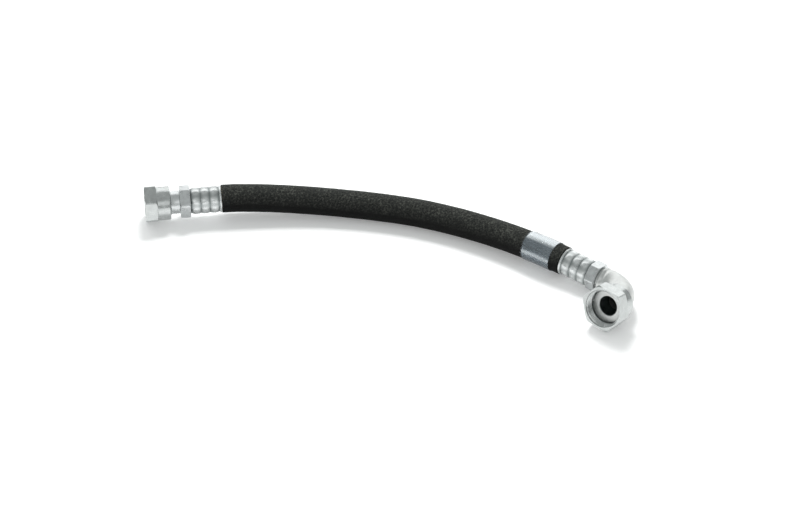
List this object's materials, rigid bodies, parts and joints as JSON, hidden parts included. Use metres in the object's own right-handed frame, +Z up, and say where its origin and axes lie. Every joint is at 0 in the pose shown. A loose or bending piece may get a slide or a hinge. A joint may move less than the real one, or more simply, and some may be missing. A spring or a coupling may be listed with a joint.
{
  "type": "hydraulic hose assembly",
  "caption": "Wire-braided rubber hydraulic hose with crimped swivel nut fittings, straight at one end and a right-angle elbow at the other, for joining flat-face fluid ports.",
  "frame": {"origin": "centre of the assembly's bounding box on the surface that it lies on", "axes": "+Z up; +X along the assembly's longest extent, from the straight fitting, whose port faces -X, towards the elbow fitting, whose port faces -X and -Y and a little up"},
  "size_m": [0.4631, 0.2859, 0.0463],
  "materials": {
    "inner_rubber": "smooth black nitrile rubber",
    "braid_wire": "brass-coated high tensile wire braid",
    "cover_rubber": "matt black synthetic rubber with a fine cloth-wrapped texture",
    "silver_film": "metallised silver film",
    "clear_film": "clear glossy shrink film",
    "zinc_stem": "bright zinc plate on turned steel",
    "zinc_ferrule": "bright zinc plate, pressed by the crimping dies",
    "zinc_nut": "bright zinc plate on a turned hexagon nut",
    "zinc_forging": "satin zinc plate on a smooth forging",
    "spring_wire": "drawn spring wire"
  },
  "bodies": {
    "hose_body": {"hose_inner_tube": "inner_rubber", "wire_braid_inner": "braid_wire", "friction_layer": "inner_rubber", "wire_braid_outer": "braid_wire", "hose_cover": "cover_rubber", "id_label": "silver_film", "label_sleeve": "clear_film", "straight_stem": "zinc_stem", "straight_ferrule": "zinc_ferrule", "elbow_stem": "zinc_stem", "elbow_body": "zinc_forging", "elbow_ferrule": "zinc_ferrule"},
    "straight_nut": {"straight_swivel_nut": "zinc_nut", "straight_retaining_wire": "spring_wire"},
    "elbow_nut": {"elbow_swivel_nut": "zinc_nut", "elbow_retaining_wire": "spring_wire"}
  },
  "joints": [
    {"name": "straight_nut_spin", "type": "hinge", "parent": "hose_body", "child": "straight_nut", "pos_m": [-0.219, 0.1242, 0.0207], "axis": [-1, 0, 0], "continuous": true},
    {"name": "elbow_nut_spin", "type": "hinge", "parent": "hose_body", "child": "elbow_nut", "pos_m": [0.19886, -0.11843, 0.02252], "axis": [-0.6987, -0.6793, 0.2246], "continuous": true}
  ]
}
